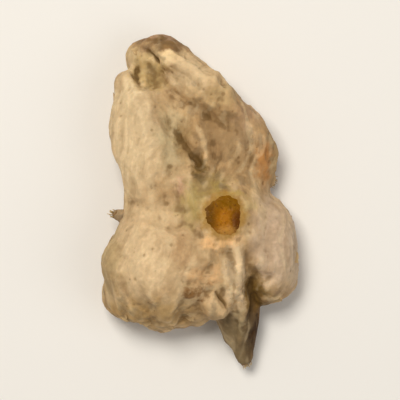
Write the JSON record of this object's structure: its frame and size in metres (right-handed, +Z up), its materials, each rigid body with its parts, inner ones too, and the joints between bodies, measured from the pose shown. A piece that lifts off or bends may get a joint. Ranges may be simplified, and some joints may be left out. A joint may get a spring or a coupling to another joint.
{
  "type": "dried galangal root",
  "caption": "Knobbly lump of dried rhizome with fused lobes, a long crease, a round shoot scar and a short tapering tail root.",
  "frame": {"origin": "on the surface the lump lies on, under the middle of its bounding box", "axes": "+Z up from the surface to the face with the amber shoot scar, +Y from the tail to the upper end, +X to the lump's right as seen from above"},
  "size_m": [0.0344, 0.058, 0.0185],
  "materials": {
    "dried_skin": "matte, wrinkled dried skin"
  },
  "bodies": {
    "root": {"galangal_root": "dried_skin"}
  },
  "joints": []
}
